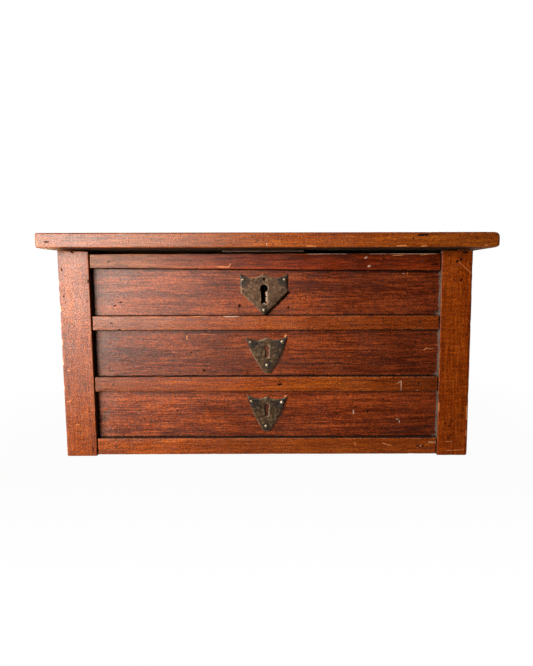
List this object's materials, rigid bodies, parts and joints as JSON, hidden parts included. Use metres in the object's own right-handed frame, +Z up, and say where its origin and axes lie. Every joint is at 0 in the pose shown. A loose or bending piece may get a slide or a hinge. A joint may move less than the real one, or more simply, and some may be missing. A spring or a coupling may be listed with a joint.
{
  "type": "wooden storage chest",
  "caption": "Small wooden lift-lid storage chest with a front that imitates drawers, brass escutcheons, butt hinges and a sliding-bolt box lock.",
  "frame": {"origin": "on the floor under the middle of the lid", "axes": "+X along the front to the right, +Y from the front to the back, +Z up"},
  "size_m": [0.5112, 0.316, 0.2602],
  "materials": {
    "frame_wood": "worn red-brown polish, open grain",
    "panel_wood": "darker red-brown polish, streaky grain",
    "carcass_wood": "worn polish outside, dry wood inside",
    "escutcheon_brass": "dull brown patina, brighter at worn edges",
    "tack_brass": "rubbed domed heads",
    "hinge_brass": "tarnished",
    "lock_iron": "dark oiled iron with rust bloom",
    "fastener_iron": "darkened steel"
  },
  "bodies": {
    "carcass": {"left_stile": "frame_wood", "right_stile": "frame_wood", "bottom_rail": "frame_wood", "lower_rail": "frame_wood", "upper_rail": "frame_wood", "top_rail": "frame_wood", "front_board": "panel_wood", "back_board": "carcass_wood", "left_side_board": "carcass_wood", "right_side_board": "carcass_wood", "bottom_board": "carcass_wood", "top_escutcheon": "escutcheon_brass", "middle_escutcheon": "escutcheon_brass", "bottom_escutcheon": "escutcheon_brass", "top_escutcheon_tacks": "tack_brass", "middle_escutcheon_tacks": "tack_brass", "bottom_escutcheon_tacks": "tack_brass", "left_hinge_back_leaf": "hinge_brass", "right_hinge_back_leaf": "hinge_brass", "left_hinge_pin": "hinge_brass", "right_hinge_pin": "hinge_brass", "lock_case": "lock_iron", "lock_back_plate": "lock_iron", "lock_selvedge": "lock_iron", "lock_guides": "lock_iron", "lock_spring": "lock_iron", "lock_ward": "lock_iron", "rail_nails": "fastener_iron", "stile_nails": "fastener_iron", "lock_screws": "fastener_iron", "hinge_back_screws": "fastener_iron"},
    "lid": {"lid": "frame_wood", "link_plate": "lock_iron", "link_staples": "lock_iron", "left_hinge_lid_leaf": "hinge_brass", "right_hinge_lid_leaf": "hinge_brass", "link_screws": "fastener_iron", "hinge_lid_screws": "fastener_iron"},
    "lock_bolt": {"lock_bolt": "lock_iron"}
  },
  "joints": [
    {"name": "lid_hinge", "type": "hinge", "parent": "carcass", "child": "lid", "pos_m": [0, 0.1458, 0.24285], "axis": [-1, 0, 0], "range_deg": [0, 106]},
    {"name": "lock_bolt_slide", "type": "slide", "parent": "carcass", "child": "lock_bolt", "axis": [1, 0, 0], "range_m": [0, 0.008]}
  ]
}
